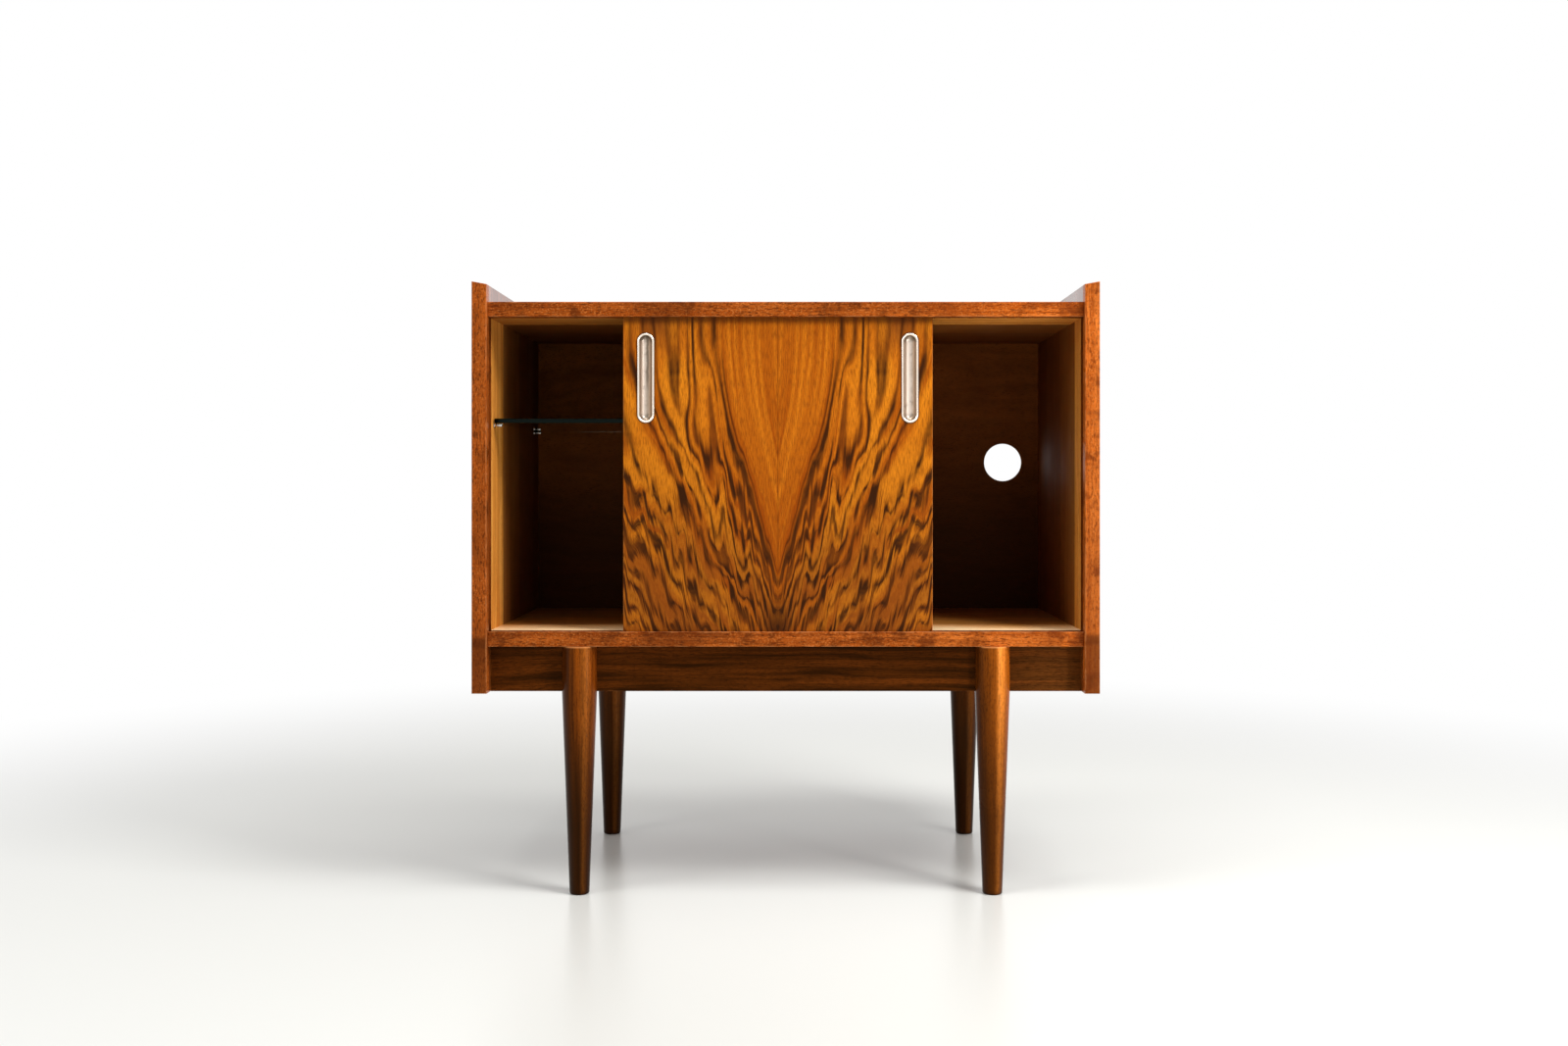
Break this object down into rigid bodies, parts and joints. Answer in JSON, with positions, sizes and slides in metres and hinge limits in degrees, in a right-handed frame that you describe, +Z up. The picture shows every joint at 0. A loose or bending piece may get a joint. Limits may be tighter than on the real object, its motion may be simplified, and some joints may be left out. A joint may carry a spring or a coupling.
{
  "type": "bar cabinet",
  "caption": "Low wooden bar cabinet on turned tapering legs, with a sliding door in grooves, recessed finger pulls, a glass shelf, a partition and a cable hole in the back.",
  "frame": {"origin": "on the floor under the middle of the cabinet", "axes": "+X to the right as seen from the front, +Y towards the back panel, +Z up"},
  "size_m": [0.8, 0.39, 0.785],
  "materials": {
    "case_veneer": "straight-grained red-brown veneer, satin lacquer",
    "lipping_wood": "solid red-brown hardwood, glossy lacquer",
    "door_veneer": "bookmatched figured veneer, glossy lacquer",
    "back_plywood": "dark brown stained plywood, satin",
    "rail_wood": "dark walnut, satin lacquer",
    "leg_wood": "turned hardwood, glossy lacquer",
    "plain_wood": "bare softwood and plywood strip",
    "shelf_glass": "clear float glass with ground edges",
    "pull_metal": "nickel-plated, polished",
    "pin_steel": "plain steel, satin",
    "glide_plastic": "slippery off-white plastic"
  },
  "bodies": {
    "carcass": {"left_side_panel": "case_veneer", "right_side_panel": "case_veneer", "top_panel": "case_veneer", "bottom_panel": "case_veneer", "centre_partition": "case_veneer", "left_side_lipping": "lipping_wood", "right_side_lipping": "lipping_wood", "top_lipping": "lipping_wood", "bottom_lipping": "lipping_wood", "partition_lipping": "lipping_wood", "back_panel": "back_plywood", "front_rail": "rail_wood", "rear_rail": "rail_wood", "front_left_leg": "leg_wood", "front_right_leg": "leg_wood", "rear_left_leg": "leg_wood", "rear_right_leg": "leg_wood", "panel_tongues": "plain_wood", "partition_tongues": "plain_wood", "rail_tongues": "plain_wood", "glue_blocks": "plain_wood", "glass_shelf": "shelf_glass", "shelf_pins": "pin_steel"},
    "door": {"door_panel": "door_veneer", "door_left_lipping": "lipping_wood", "door_right_lipping": "lipping_wood", "left_pull": "pull_metal", "right_pull": "pull_metal", "door_glides": "glide_plastic"}
  },
  "joints": [
    {"name": "door_slide", "type": "slide", "parent": "carcass", "child": "door", "axis": [1, 0, 0], "range_m": [-0.1785, 0.199]}
  ]
}
